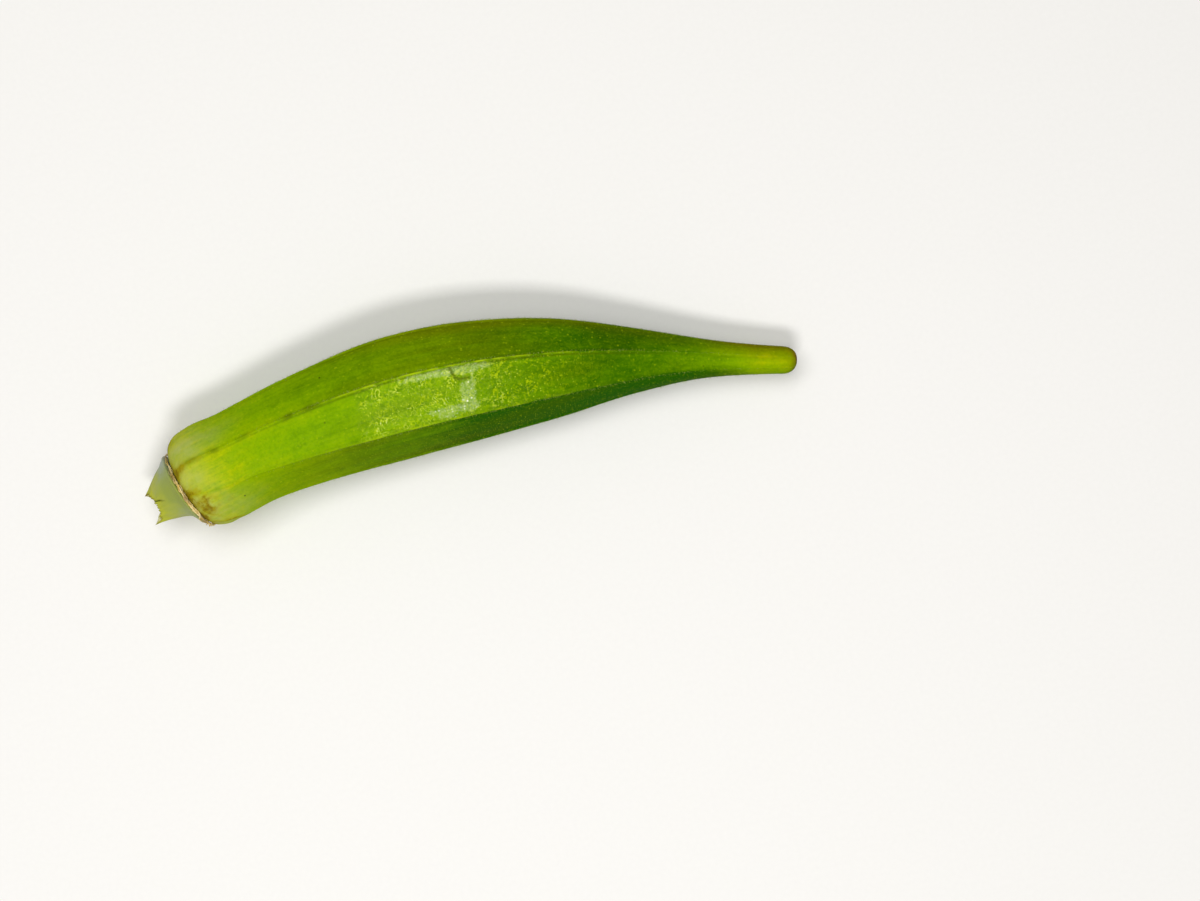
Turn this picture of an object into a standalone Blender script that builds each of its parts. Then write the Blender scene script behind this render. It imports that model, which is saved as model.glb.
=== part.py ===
"""A fresh okra pod, as picked and trimmed, lying on its belly.

Three pieces that grew together: the ribbed seed pod, the corky ring that the fallen calyx left round its
base, and the pale stem cap with the short stalk that was cut through. The pod is lofted along a curved axis
that starts at the middle of the calyx ring. Stem end at -X, tip at +X, the outside of the bend towards +Y.
"""

import bpy
import numpy as np

MM = 0.001

# --- the pod, in millimetres and degrees; distances run along its axis from the calyx ring to the tip ---
POD_LENGTH = 103.0
TIP_ROUND = 2.6  # length of the blunt dome that ends the beak
RIDGE_RADIUS = (  # (distance, radius out to the ridges)
    (0.0, 6.0),
    (0.25, 6.8),
    (0.7, 7.5),
    (1.7, 8.3),
    (4.8, 8.95),
    (10.5, 8.65),
    (21.0, 9.25),
    (36.6, 10.3),
    (50.6, 9.85),
    (64.5, 8.05),
    (76.7, 5.35),
    (87.2, 3.35),
    (97.7, 2.4),
    (103.0, 2.2),
)
FACETING = ((0.0, 0.35), (6.0, 0.55), (20.0, 0.95), (40.0, 1.0), (75.0, 1.0), (90.0, 0.55), (103.0, 0.3))
RIDGES = (-155.0, -97.0, -37.0, 13.5, 65.0, 110.0, 155.0)  # degrees round the axis, from straight up towards +Y
RIDGES_AT_RING = (-108.0, -54.0, -9.0, 24.0, 71.0, 120.0, 180.0)  # the same ridges where they start
SETTLE_LENGTH = 12.0  # how far they wind before they run straight
FACET_CROWN = 0.022  # how far a face swells past flat, as a share of the radius
RIB_HEIGHT = 0.16  # the thread-like rib along each ridge
FACET_STEPS = (0.0, 0.08, 0.29, 0.5, 0.71, 0.92)  # from one ridge to the next

# --- how the axis bends ---
HEADING = (  # (distance, degrees in plan from +X towards +Y)
    (0.0, 20.5),
    (8.0, 18.5),
    (18.0, 11.5),
    (32.0, 6.5),
    (46.0, 0.0),
    (60.0, -4.5),
    (76.0, -9.0),
    (90.0, -12.8),
    (103.0, -13.5),
)
PITCH = ((0.0, 5.0), (9.0, 2.4), (24.0, 0.5), (42.0, -0.8), (70.0, -2.2), (103.0, -3.4))  # the beak droops
REST_SINK = 0.35  # how much of the belly is pressed flat where the pod rests

# --- the calyx ring ---
RING_RADIUS = 6.95
RING_SETBACK = 0.15  # how far it lies behind the pod's base, in the groove
RING_THICKNESS = 0.6
RING_SIDES = 8

# --- the stem cap, by its distance behind the pod's base ---
CAP_GAP = 0.3
CAP_RADIUS = (
    (0.3, 6.0),
    (0.7, 6.65),
    (1.1, 6.1),
    (1.8, 5.2),
    (2.9, 4.3),
    (4.5, 3.35),
    (6.0, 2.5),
    (6.8, 2.15),
)
CAP_SHIFT = ((0.3, 0.1), (1.0, 0.6), (1.8, 0.95), (3.0, 1.0), (4.6, 0.8), (6.8, 0.45))  # towards +Y
CUT_SLANT = -0.3  # the knife went through a little askew, and left the -Y side longer
CUT_RAGGED = 0.45  # how far the two torn corners stand out past the dips between them
CAP_LOBES = 0.08  # how strongly the same corners show in the stalk, as a share of its radius


def smooth(points, x):
    """The value at x of the smooth cubic that passes through the (x, value) points."""
    px, py = np.array(points).T
    slope = np.gradient(py, px)
    k = np.clip(np.searchsorted(px, x) - 1, 0, len(px) - 2)
    width = px[k + 1] - px[k]
    t = np.clip((x - px[k]) / width, 0, 1)
    start = (1 + 2 * t) * (1 - t) ** 2 * py[k] + t * (1 - t) ** 2 * width * slope[k]
    end = t**2 * (3 - 2 * t) * py[k + 1] - t**2 * (1 - t) * width * slope[k + 1]
    return start + end


def axis_frame(distance):
    """Middle, forward, sideways and up vectors of the axis at each distance, from headings summed along it."""
    fine = np.linspace(0, POD_LENGTH, 413)
    h, p = np.radians(smooth(HEADING, fine)), np.radians(smooth(PITCH, fine))
    forward = np.stack([np.cos(h) * np.cos(p), np.sin(h) * np.cos(p), np.sin(p)], axis=1)
    steps = (forward[1:] + forward[:-1]) / 2 * np.diff(fine)[:, None]
    middle = np.concatenate([np.zeros((1, 3)), np.cumsum(steps, axis=0)])
    at = np.clip(distance, 0, POD_LENGTH)
    forward = np.stack([np.interp(at, fine, forward[:, i]) for i in range(3)], axis=1)
    middle = np.stack([np.interp(at, fine, middle[:, i]) for i in range(3)], axis=1)
    middle += forward * (distance - at)[:, None]  # behind the base, the axis runs on straight
    flat = np.hypot(forward[:, 0], forward[:, 1])
    side = np.stack([-forward[:, 1] / flat, forward[:, 0] / flat, np.zeros(len(flat))], axis=1)
    return middle, forward, side, np.cross(forward, side)


def section_angles(distance):
    """Angle round the axis of each point of each section, in radians, and its place from ridge to ridge."""
    settled, start = (np.array(angles + (angles[0] + 360,)) for angles in (RIDGES, RIDGES_AT_RING))
    ridges = np.radians(settled + (start - settled) * np.exp(-np.clip(distance, 0, None) / SETTLE_LENGTH)[:, None])
    steps = np.array(FACET_STEPS)
    first, width = ridges[:, :-1, None], np.diff(ridges, axis=1)[:, :, None]
    angle = (first + width * steps).reshape(len(distance), -1)
    half = np.repeat(width[:, :, 0] / 2, len(steps), axis=1)
    return angle, half, np.tile(steps, len(RIDGES))


def faceted(radius, faceting, half, step):
    """Radius round a section: straight faces between the ridges, a little crowned, with a rib on each ridge."""
    flat = np.cos(half) / np.cos(half * (2 * step - 1))
    crown = FACET_CROWN * 4 * step * (1 - step)
    rib = np.where(step == 0, RIB_HEIGHT, 0) * np.clip(faceting, 0, 1)[:, None]
    return radius[:, None] * (1 + faceting[:, None] * (flat - 1 + crown)) + rib


def swept(middle, side, up, angle, radius):
    """The points of the sections, each set square to the axis."""
    across = np.sin(angle)[..., None] * side[:, None] + np.cos(angle)[..., None] * up[:, None]
    return middle[:, None] + radius[..., None] * across


def pod_sections():
    base = np.array([0.0, 0.25, 0.7, 1.2, 1.7, 2.5, 3.5])
    body = np.linspace(5.0, POD_LENGTH - TIP_ROUND, 42)
    dome = POD_LENGTH - TIP_ROUND + TIP_ROUND * np.sin(np.radians([25, 48, 66, 80]))
    distance = np.concatenate([base, body, dome])
    middle, _, side, up = axis_frame(distance)
    angle, half, step = section_angles(distance)
    into_dome = np.clip((distance - (POD_LENGTH - TIP_ROUND)) / TIP_ROUND, 0, 1)
    radius = smooth(RIDGE_RADIUS, distance) * np.sqrt(1 - into_dome**2)
    return swept(middle, side, up, angle, faceted(radius, smooth(FACETING, distance), half, step))


def ring_outline():
    """Middles of the calyx ring's thickness round the pod's base, with outward and forward vectors."""
    distance = np.array([-RING_SETBACK])
    middle, forward, side, up = axis_frame(distance)
    angle, half, step = section_angles(distance)
    radius = faceted(np.array([RING_RADIUS]), np.array([FACETING[0][1]]), half, step)
    points = swept(middle, side, up, angle, radius)[0]
    outward = swept(np.zeros((1, 3)), side, up, angle, np.ones_like(radius))[0]
    return points, outward, forward[0]


def ring_sections():
    """A cord bent round the base: one small circle at each point of the outline, thicker at the ridges."""
    points, outward, forward = ring_outline()
    turn = np.radians(np.arange(RING_SIDES) * 360 / RING_SIDES)
    thick = RING_THICKNESS / 2 * (1 + 0.08 * np.cos(2 * np.pi * np.tile(FACET_STEPS, len(RIDGES))))
    circle = np.cos(turn)[None, :, None] * outward[:, None] + np.sin(turn)[None, :, None] * forward
    return points[:, None] + thick[:, None, None] * circle


def cap_sections():
    """From the face against the pod's base to the cut through the stalk, which is torn into corners."""
    behind = np.array([0.3, 0.5, 0.7, 0.9, 1.2, 1.6, 2.1, 2.8, 3.6, 4.4, 5.2, 5.9, 6.4, 6.8])
    middle, forward, side, up = axis_frame(-behind)
    middle = middle + side * smooth(CAP_SHIFT, behind)[:, None]
    angle, half, step = section_angles(-behind)
    along = (behind - behind[0]) / (behind[-1] - behind[0])
    corner = -np.cos(2 * angle)
    lobes = 1 + CAP_LOBES * corner * np.clip(along * 2 - 0.6, 0, 1)[:, None]
    radius = faceted(smooth(CAP_RADIUS, behind), FACETING[0][1] * (1 - along), half, step) * lobes
    points = swept(middle, side, up, angle, radius)
    torn = CUT_RAGGED * corner / 2 + CUT_SLANT * np.sin(angle)
    reach = np.clip((behind - 5.0) / 1.8, 0, 1)[:, None]
    return points - forward[:, None] * (torn * reach)[..., None]


def lofted(name, sections, colour, roughness):
    """One closed mesh through the sections, each end closed by a fan to its middle."""
    count, around = sections.shape[:2]
    ends = [sections[0].mean(axis=0), sections[-1].mean(axis=0)]
    points = np.concatenate([sections.reshape(-1, 3), ends]) * MM
    faces = []
    for row in range(count - 1):
        for k in range(around):
            a, b = row * around + k, row * around + (k + 1) % around
            faces.append((b, a, a + around, b + around))
    for k in range(around):
        after = (k + 1) % around
        last = (count - 1) * around
        faces.append((k, after, count * around))
        faces.append((last + after, last + k, count * around + 1))
    return as_object(name, points, faces, colour, roughness)


def looped(name, sections, colour, roughness):
    """One closed mesh through sections that come back to the first, as round a ring."""
    count, around = sections.shape[:2]
    faces = []
    for row in range(count):
        after = (row + 1) % count
        for k in range(around):
            beside = (k + 1) % around
            faces.append((row * around + k, row * around + beside, after * around + beside, after * around + k))
    return as_object(name, sections.reshape(-1, 3) * MM, faces, colour, roughness)


def as_object(name, points, faces, colour, roughness):
    mesh = bpy.data.meshes.new(name)
    mesh.from_pydata(points.tolist(), [], faces)
    mesh.validate()
    mesh.shade_smooth()
    mesh.set_sharp_from_angle(angle=np.radians(35))
    material = bpy.data.materials.new(name)
    material.use_nodes = True
    shader = material.node_tree.nodes["Principled BSDF"]
    shader.inputs["Base Color"].default_value = (*colour, 1)
    shader.inputs["Roughness"].default_value = roughness
    shader.inputs["Metallic"].default_value = 0
    mesh.materials.append(material)
    obj = bpy.data.objects.new(name, mesh)
    bpy.context.scene.collection.objects.link(obj)
    return obj


def laid_down(pod, ring, cap):
    """The belly's lowest part pressed flat at height zero, and the whole centred over the origin."""
    surface = pod[..., 2].min() + REST_SINK
    pod[..., 2] = np.maximum(pod[..., 2], surface)
    points = np.concatenate([sections.reshape(-1, 3) for sections in (pod, ring, cap)])
    middle = (points.min(axis=0) + points.max(axis=0)) / 2
    origin = np.array([middle[0], middle[1], surface])
    return pod - origin, ring - origin, cap - origin


def build():
    for old in list(bpy.data.objects):
        bpy.data.objects.remove(old)
    pod, ring, cap = laid_down(pod_sections(), ring_sections(), cap_sections())
    lofted("pod", pod, (0.20, 0.36, 0.01), 0.42)
    looped("calyx_ring", ring, (0.55, 0.42, 0.16), 0.85)
    lofted("stem_cap", cap[:, ::-1], (0.33, 0.40, 0.12), 0.6)


build()
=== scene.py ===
"""A fresh okra pod lying on a pale studio surface: its ribbed skin, hairs, corky ring and cut stalk."""

import math

import bpy
import numpy as np
from mathutils import Matrix, Vector


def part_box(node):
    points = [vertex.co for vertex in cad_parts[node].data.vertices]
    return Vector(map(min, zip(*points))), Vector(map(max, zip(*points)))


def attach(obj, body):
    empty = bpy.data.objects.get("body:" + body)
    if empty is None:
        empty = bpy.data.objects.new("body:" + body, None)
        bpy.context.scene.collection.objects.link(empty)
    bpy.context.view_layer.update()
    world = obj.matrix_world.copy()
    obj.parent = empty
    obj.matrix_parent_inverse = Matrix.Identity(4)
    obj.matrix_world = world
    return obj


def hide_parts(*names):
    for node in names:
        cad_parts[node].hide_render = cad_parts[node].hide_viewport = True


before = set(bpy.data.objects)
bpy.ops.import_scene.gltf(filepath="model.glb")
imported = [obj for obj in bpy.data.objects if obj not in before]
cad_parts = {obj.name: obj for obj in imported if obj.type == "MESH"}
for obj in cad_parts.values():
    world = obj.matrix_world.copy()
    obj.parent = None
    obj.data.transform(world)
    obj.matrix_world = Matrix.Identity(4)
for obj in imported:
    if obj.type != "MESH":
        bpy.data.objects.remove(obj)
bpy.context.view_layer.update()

# ======================================================================================================
# The pod: one ribbed capsule of crisp green tissue, grown as a single piece round its seeds. Seven ribs
# wind a little where they leave the calyx ring, run straight to the beak and fade there. Sizes are in
# millimetres, and places run along the pod's own bent axis, from the ring to the tip.
# ======================================================================================================

POD_LENGTH = 103.0
TIP_ROUND = 2.6  # the length of the dome that closes the tip
RIDGE_RADIUS = (  # place along the axis, and how far the ridges stand out there
    (0.0, 6.0),
    (0.25, 6.8),
    (0.7, 7.5),
    (1.7, 8.3),
    (4.8, 8.95),
    (10.5, 8.65),
    (21.0, 9.25),
    (36.6, 10.3),
    (50.6, 9.85),
    (64.5, 8.05),
    (76.7, 5.35),
    (87.2, 3.35),
    (97.7, 2.4),
    (103.0, 2.2),
)
FACETING = (  # place, and 1 where the faces between the ridges are flat or 0 where they are round
    (0.0, 0.35),
    (6.0, 0.55),
    (20.0, 0.95),
    (40.0, 1.0),
    (62.0, 0.95),
    (76.0, 0.75),
    (90.0, 0.35),
    (103.0, 0.2),
)
SHOULDER_SHIFT = ((0.0, 0.0), (1.2, 0.25), (3.5, 0.3), (9.0, 0.0), (12.0, 0.0))  # its lean towards +Y
RIDGES = (-155.0, -97.0, -37.0, 13.5, 65.0, 110.0, 155.0)  # degrees from straight up, towards +Y
RIDGES_AT_RING = (-108.0, -54.0, -9.0, 24.0, 71.0, 120.0, 180.0)
SETTLE_LENGTH = 12.0  # over which the winding of the ridges dies away
FACET_CROWN = 0.022  # how far each face bulges, as a share of the radius
HEADING = (  # place, and the degrees by which the axis is turned in plan
    (0.0, 20.5),
    (8.0, 18.5),
    (18.0, 11.5),
    (32.0, 6.5),
    (46.0, 0.0),
    (60.0, -4.5),
    (76.0, -9.0),
    (90.0, -12.8),
    (103.0, -13.5),
)
PITCH = ((0.0, 5.0), (9.0, 2.4), (24.0, 0.5), (42.0, -0.8), (70.0, -2.2), (103.0, -3.4))  # degrees upwards
REST_SINK = 0.35  # how deep the underside is pressed flat where it lies
DOME_SQUARENESS = 2.5  # 2 would be a half ellipse
RIB_HEIGHT = 0.15
RIB_WIDTH = 0.17
RIB_FURROW = (0.35, 0.55, 0.25)  # its depth as a share of the rib's height, how far off it is, and its width
RIB_STRENGTH = ((0.0, 0.0), (6.0, 0.2), (18.0, 0.6), (34.0, 1.0), (70.0, 0.9), (84.0, 0.3), (103.0, 0.1))
UNEVENNESS = 0.07  # how far the skin swells or sinks at most
AXIS_STEPS = 413
ROWS = 350
COLUMNS_PER_FACE = 36
CROWDING = 0.11  # how far the columns are drawn towards the ribs, as a share of the face


def smooth(points, x):
    """The value at x of the cubic Hermite curve through the (x, value) points, flat beyond its ends."""
    px, py = np.array(points).T
    slope = np.gradient(py, px)
    k = np.clip(np.searchsorted(px, x) - 1, 0, len(px) - 2)
    width = px[k + 1] - px[k]
    t = np.clip((x - px[k]) / width, 0, 1)
    start = (1 + 2 * t) * (1 - t) ** 2 * py[k] + t * (1 - t) ** 2 * width * slope[k]
    end = t**2 * (3 - 2 * t) * py[k + 1] - t**2 * (1 - t) * width * slope[k + 1]
    return start + end


def rise(x, start, end):
    """From 0 at the start to 1 at the end, straight between them and level beyond."""
    return np.clip((x - start) / (end - start), 0, 1)


def bell(x, width):
    """A bell curve of x, exp(-(x / width)^2): 1 at nought, and 0.37 at the width."""
    return np.exp(-((x / width) ** 2))


def axis_frame(distance):
    """Middle, forward, side and up vectors of the bent axis: its headings summed along its length, and the
    axis runs on straight beyond its ends."""
    fine = np.linspace(0, POD_LENGTH, AXIS_STEPS)
    h, p = np.radians(smooth(HEADING, fine)), np.radians(smooth(PITCH, fine))
    forward = np.stack([np.cos(h) * np.cos(p), np.sin(h) * np.cos(p), np.sin(p)], axis=1)
    steps = (forward[1:] + forward[:-1]) / 2 * np.diff(fine)[:, None]
    middle = np.concatenate([np.zeros((1, 3)), np.cumsum(steps, axis=0)])
    at = np.clip(distance, 0, POD_LENGTH)
    forward = np.stack([np.interp(at, fine, forward[:, i]) for i in range(3)], axis=-1)
    middle = np.stack([np.interp(at, fine, middle[:, i]) for i in range(3)], axis=-1)
    middle = middle + forward * (distance - at)[..., None]
    flat = np.hypot(forward[..., 0], forward[..., 1])
    side = np.stack([-forward[..., 1] / flat, forward[..., 0] / flat, np.zeros_like(flat)], axis=-1)
    return middle, forward, side, np.cross(forward, side)


def round_section(distance, facet):
    """Angle, half the face's width and the place across it, where facet counts ridges and parts of one."""
    settled, start = (
        np.radians(np.array(angles + (angles[0] + 360,))) for angles in (RIDGES, RIDGES_AT_RING)
    )
    wind = np.exp(-np.clip(distance, 0, None) / SETTLE_LENGTH)
    k = np.floor(facet).astype(int) % len(RIDGES)
    across = facet - np.floor(facet)
    first = settled[k] + (start[k] - settled[k]) * wind
    last = settled[k + 1] + (start[k + 1] - settled[k + 1]) * wind
    return first + (last - first) * across, (last - first) / 2, across


def sine_sum(x, y, z, wavelengths, seed):
    """A smooth random field from -1 to 1: the mean of sine waves, each with its own seeded direction."""
    draw = np.random.default_rng(seed)
    total = np.zeros(np.broadcast(x, y, z).shape)
    for wavelength in wavelengths:
        way = draw.normal(size=3)
        way *= 2 * np.pi / wavelength / np.linalg.norm(way)
        total += np.sin(way[0] * x + way[1] * y + way[2] * z + draw.uniform(0, 2 * np.pi))
    return total / len(wavelengths)


def chord(half, across, faceting):
    """How far out a face is, as a share of its ridges' distance: a straight chord between them, crowned a
    little, as far as faceting goes, and 1 for the rest."""
    straight = np.cos(half) / np.cos(half * (2 * across - 1))
    crown = FACET_CROWN * 4 * across * (1 - across)
    return 1 + faceting * (straight - 1 + crown)


def pod_radius(distance, facet):
    """The chords between the ridges, made uneven by waves, with a thread-like rib on each ridge and a furrow
    on both its sides: bell curves of the distance from the ridge. The dome is a squarish half ellipse."""
    angle, half, across = round_section(distance, facet)
    into_dome = rise(distance, POD_LENGTH - TIP_ROUND, POD_LENGTH)
    outer = smooth(RIDGE_RADIUS, distance) * (1 - into_dome**DOME_SQUARENESS) ** (1 / DOME_SQUARENESS)
    radius = outer * chord(half, across, smooth(FACETING, distance))
    from_ridge = np.minimum(across, 1 - across) * 2 * half * outer
    depth, off, width = RIB_FURROW
    rib = bell(from_ridge, RIB_WIDTH) - depth * bell(from_ridge - off, width)
    sideways, upwards = radius * np.sin(angle), radius * np.cos(angle)
    waves = sine_sum(sideways, upwards, distance * 0.4, (9, 7, 6, 5, 4, 3.4, 2.6), 4)
    waves *= rise(distance, 0, 6) * (1 - into_dome)
    radius = radius + RIB_HEIGHT * smooth(RIB_STRENGTH, distance) * rib + UNEVENNESS * waves
    return radius, angle, from_ridge


def outwards(angle, side, up):
    """The direction away from the axis at an angle from straight up."""
    return np.sin(angle)[..., None] * side + np.cos(angle)[..., None] * up


def pod_point(distance, facet):
    """The skin at a distance along the axis and a place round it, in millimetres from the ring's middle."""
    distance, facet = np.broadcast_arrays(distance, facet)
    middle, _, side, up = axis_frame(distance)
    middle = middle + side * smooth(SHOULDER_SHIFT, distance)[..., None]
    radius, angle, _ = pod_radius(distance, facet)
    return middle + radius[..., None] * outwards(angle, side, up)


def closed_faces(count, rows, around, capped):
    """Quads over count grids of rows by around points, each row a loop. A capped grid is shut at both ends
    by fans to two further points, and an uncapped one runs on from its last row to its first."""
    tube, row, column = np.meshgrid(
        np.arange(count), np.arange(rows - 1 if capped else rows), np.arange(around), indexing="ij"
    )
    here, beyond = (tube * rows + row) * around, (tube * rows + (row + 1) % rows) * around
    beside = (column + 1) % around
    quads = np.stack([here + beside, here + column, beyond + column, beyond + beside], axis=-1)
    faces = quads.reshape(-1, 4).tolist()
    if capped:
        k = np.arange(around)
        after, end = (k + 1) % around, (rows - 1) * around
        faces += np.stack([k, after, np.full(around, rows * around)], axis=1).tolist()
        faces += np.stack([end + after, end + k, np.full(around, rows * around + 1)], axis=1).tolist()
    return faces


def mesh_of(name, points, faces):
    """A smooth-shaded mesh from points in millimetres."""
    mesh = bpy.data.meshes.new(name)
    mesh.from_pydata((points * 0.001).tolist(), [], faces)
    mesh.shade_smooth()
    return mesh


def capped_tube(name, grid):
    """One mesh through rows of points, with each end shut by a fan round the middle of its last row."""
    points = np.concatenate([grid.reshape(-1, 3), [grid[0].mean(axis=0), grid[-1].mean(axis=0)]])
    return mesh_of(name, points, closed_faces(1, *grid.shape[:2], True))


def paint(mesh, name, values):
    """One number or one vector for each point of the mesh, which its material reads by name. The points that
    close a tube's ends take the first and the last value."""
    kind, field = ("FLOAT", "value") if values.ndim == 1 else ("FLOAT_VECTOR", "vector")
    spare = len(mesh.vertices) - len(values)
    ends = values[[0, -1][:spare]] if spare else values[:0]
    mesh.attributes.new(name, kind, "POINT").data.foreach_set(field, np.concatenate([values, ends]).ravel())


def linear(code, alpha=1.0):
    """An sRGB hex colour as linear light."""
    value = np.array([int(code[i : i + 2], 16) for i in (1, 3, 5)]) / 255
    return (*np.where(value <= 0.04045, value / 12.92, ((value + 0.055) / 1.055) ** 2.4), alpha)


def add(material, kind, inputs=(), output=0, **settings):
    """Adds a shader node and gives one of its outputs. Settings go to its own fields or to sockets by name,
    and inputs to sockets by name or number: another node's output, a number or a hex colour."""
    node = material.node_tree.nodes.new("ShaderNode" + kind)
    for key, value in settings.items():
        if hasattr(node, key):
            setattr(node, key, value)
        else:
            node.inputs[key.replace("_", " ")].default_value = value
    for socket, value in dict(inputs).items():
        if isinstance(value, bpy.types.NodeSocket):
            material.node_tree.links.new(value, node.inputs[socket])
        else:
            node.inputs[socket].default_value = linear(value) if isinstance(value, str) else value
    return node.outputs[output]


def every(size):
    """The scale of a pattern whose cells are this many millimetres across."""
    return 1000 / size


def coated(material, colour, coats):
    """The colour with coats laid over it one after another. Each coat is its own colour and then the shares
    whose product says how much of what lies beneath it covers."""
    # A Mix node of colours has its share in socket 0 and its colours in 6 and 7, and gives output 2.
    for over, *shares in coats:
        covered = shares[0]
        for share in shares[1:]:
            covered = add(material, "Math", {0: covered, 1: share}, operation="MULTIPLY")
        colour = add(material, "Mix", {0: covered, 6: colour, 7: over}, output=2, data_type="RGBA")
    return colour


def scattered(material, place, size, core, reach, lots, channel):
    """Round spots, at most one to a cell of this size, whole within the core and gone at the reach, both as
    shares of the cell. One channel of the cell's random colour is its lot: there is no spot at the first of
    the two lots or below it, and a full one at the second or above."""
    cells = add(material, "TexVoronoi", {"Vector": place}, Scale=every(size), Randomness=1.0)
    drawn = add(material, "SeparateColor", {"Color": cells.node.outputs["Color"]}, output=channel)
    drawn = add(material, "MapRange", {"Value": drawn}, From_Min=lots[0], From_Max=lots[1])
    spot = add(material, "MapRange", {"Value": cells}, From_Min=reach, From_Max=core)
    return add(material, "Math", {0: spot, 1: drawn}, operation="MULTIPLY")


def cover(mesh, material, links, **constants):
    """Gives the mesh its material, with node outputs linked to the shader's sockets and its constants set."""
    shader = material.node_tree.nodes["Principled BSDF"]
    for socket, source in links.items():
        material.node_tree.links.new(source, shader.inputs[socket])
    for socket, value in constants.items():
        shader.inputs[socket.replace("_", " ")].default_value = value
    mesh.materials.append(material)


def object_of(name, data):
    """An object at the origin, unturned, for a mesh, a lamp or a camera."""
    thing = bpy.data.objects.new(name, data)
    bpy.context.scene.collection.objects.link(thing)
    return thing


# The rows crowd together at the shoulder and the dome, and the columns along the ribs.
rows = np.concatenate(
    [
        np.array([0.0, 0.1, 0.25, 0.45, 0.7, 0.95, 1.25, 1.6]),
        np.linspace(2.0, POD_LENGTH - TIP_ROUND, ROWS),
        POD_LENGTH - TIP_ROUND * (1 - np.sin(np.radians([8, 17, 27, 37, 47, 57, 65, 72, 78, 83, 87, 89.4]))),
    ]
)
even = np.linspace(0, 1, COLUMNS_PER_FACE, endpoint=False)
columns = (np.arange(len(RIDGES))[:, None] + even - CROWDING * np.sin(2 * np.pi * even)).ravel()
distance, facet = np.meshgrid(rows, columns, indexing="ij")
skin = pod_point(distance, facet)
floor_height = skin[..., 2].min() + REST_SINK
skin[..., 2] = np.maximum(skin[..., 2], floor_height)
low, high = (np.array(corner) * 1000 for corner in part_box("pod"))
shift = (low + high) / 2 - (skin.min(axis=(0, 1)) + skin.max(axis=(0, 1))) / 2
shift[2] = low[2] - floor_height
skin += shift

pod_mesh = capped_tube("okra_skin", skin)

# How far the skin has turned from yellow-green to deep green: the uppermost face is the yellowest, and
# the beak stays yellow. The two tables of faces say how much greener and browner each face is than that
# one, in the ridges' order, near the base and beyond the middle. The greener depth is partly painted shade,
# darker on the faces that turn away from the light, most of all on the steep face on the -Y side of the
# uppermost one. BEAK_DEPTH and BEAK_OLIVE say it of the beak.
radius, angle, from_ridge = pod_radius(distance, facet)
RIPENESS = (
    (0.0, 0.03),
    (6.0, 0.15),
    (12.0, 0.27),
    (20.0, 0.38),
    (28.0, 0.44),
    (40.0, 0.44),
    (46.0, 0.48),
    (52.0, 0.61),
    (60.0, 0.68),
    (74.0, 0.84),
    (82.0, 0.72),
    (90.0, 0.52),
    (98.0, 0.13),
    (103.0, 0.2),
)
# Partly painted shade: the faces that turn from the light are made a deeper green, the steep face on the -Y
# side of the uppermost one most.
FACE_DEPTH_AND_SHADE = (
    (0.12, 0.1, 0.0, 0.15, 0.2, 0.2, 0.08),
    (0.35, 0.55, 0.0, 0.1, 0.2, 0.3, 0.2),
)
FACE_OLIVE = (
    (0.32, 0.34, 0.0, 0.18, 0.3, 0.2, 0.1),
    (0.1, 0.02, 0.0, 0.22, 0.3, 0.2, 0.1),
)
BEYOND = (20.0, 56.0)  # the stretch over which the second of each pair takes over
BEAK_DEPTH = (0.6, 0.2, 0.0, 0.4, 1.4, 1.0, 0.8)
BEAK_OLIVE = (0.3, 0.2, 0.15, 0.75, 1.9, 0.5, 0.3)
OLIVE_STRETCH = (
    (0.0, 0.0),
    (14.0, 0.5),
    (26.0, 1.0),
    (48.0, 1.0),
    (64.0, 0.35),
    (88.0, 0.2),
    (103.0, 0.2),
)
FACE_BLEND = (
    (0.0, 0.5),
    (8.0, 0.36),
    (16.0, 0.14),
    (34.0, 0.04),
    (76.0, 0.06),
    (84.0, 0.3),
    (94.0, 1.0),
)
BEAK = (86.0, 96.0)  # where it starts, and where it is all beak
WEATHERED_RIB = 4  # its crest has browned
face = np.floor(facet).astype(int) % len(RIDGES)
across = facet - np.floor(facet)


def by_face(values):
    """Each face's own value, run together linearly on both sides of each ridge, over a strip whose width
    as a share of the face is FACE_BLEND's."""
    own, before, after = (np.array(values)[(face + step) % len(RIDGES)] for step in (0, -1, 1))
    blend = np.interp(distance, *np.array(FACE_BLEND).T)
    to_before, to_after = (np.clip(0.5 - side / blend, 0, 0.5) for side in (across, 1 - across))
    return own + (before - own) * to_before + (after - own) * to_after


# Where each point would be on a straight pod, so that every pattern follows its bend.
grown = np.stack([radius * np.sin(angle), radius * np.cos(angle), distance], axis=-1)
blotch = sine_sum(grown[..., 0], grown[..., 1], grown[..., 2] * 0.3, (14, 11, 8, 6.5, 5, 4), 11)
ragged = sine_sum(grown[..., 0], grown[..., 1], grown[..., 2], (3.1, 2.3, 1.7, 1.3, 0.9), 21)
settling = rise(distance, 0, 30)
beak = rise(distance, *BEAK)
beyond = rise(distance, *BEYOND)
depth, brownness = (
    by_face(near) * (1 - beyond) + by_face(far) * beyond for near, far in (FACE_DEPTH_AND_SHADE, FACE_OLIVE)
)
ripeness = smooth(RIPENESS, distance) + depth * settling * (1 - 0.6 * beak) + 0.08 * blotch
ripeness += 0.3 * beak * by_face(BEAK_DEPTH)
greener_middle = (np.sin(np.pi * across) ** 2 - 0.6) * bell(distance - 22, 10)
ripeness += 0.1 * greener_middle
weathered = bell(from_ridge, 1.6) * np.exp(-(((distance - 58) / 22) ** 4))
weathered *= np.round(facet) == WEATHERED_RIB
olive = brownness * smooth(OLIVE_STRETCH, distance) + 0.4 * weathered + 0.2 * blotch * settling
olive += beak * by_face(BEAK_OLIVE)

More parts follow.
